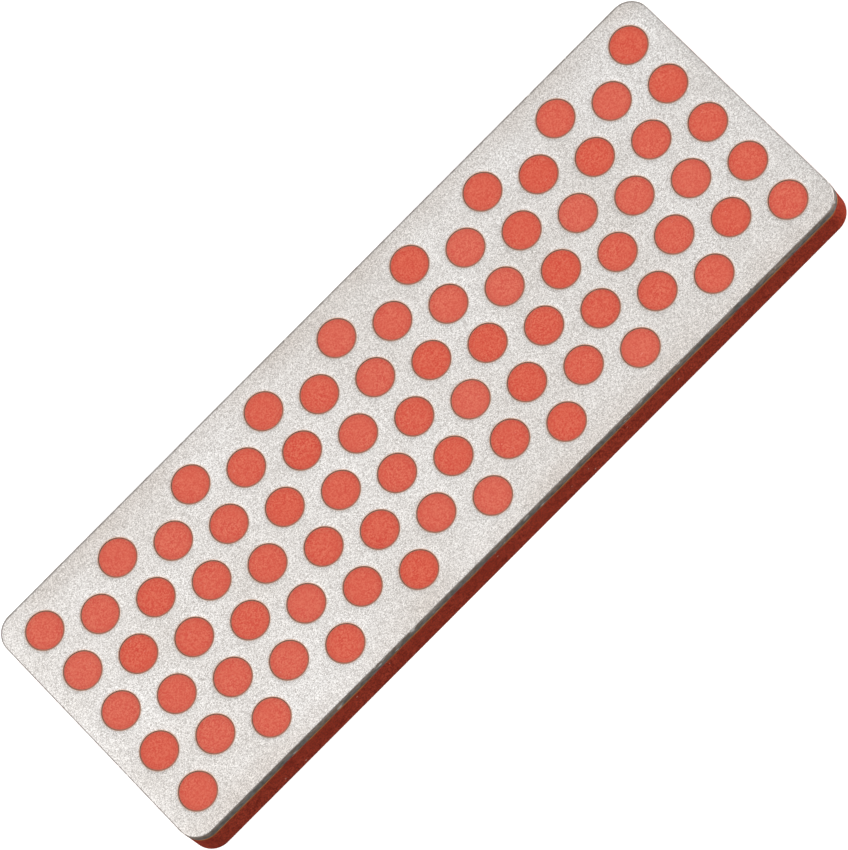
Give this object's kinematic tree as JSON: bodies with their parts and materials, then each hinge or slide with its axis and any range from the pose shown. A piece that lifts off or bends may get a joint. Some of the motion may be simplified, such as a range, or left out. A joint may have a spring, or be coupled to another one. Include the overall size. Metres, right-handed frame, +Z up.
{
  "type": "edge tuning diamond stone",
  "caption": "Pocket diamond stone for ski and snowboard edges: a perforated, grit-plated steel face moulded flush onto a slim plastic base whose posts fill the holes.",
  "frame": {"origin": "centre of the base's underside, the plane that the stone lies on", "axes": "+X along the stone, +Y across it, +Z up out of the grit face"},
  "size_m": [0.0724, 0.0254, 0.0045],
  "materials": {
    "red_polycarbonate": "injection-moulded polycarbonate, solid coral red, lapped matt where the posts show in the face",
    "sheet_steel": "punched and sheared low-carbon steel sheet, dull grey cut edge",
    "diamond_nickel": "electroplated nickel holding a single layer of fine diamond grit, bright sparkling grain"
  },
  "bodies": {
    "root": {"moulded_base": "red_polycarbonate", "perforated_plate": "sheet_steel", "diamond_layer": "diamond_nickel"}
  },
  "joints": []
}
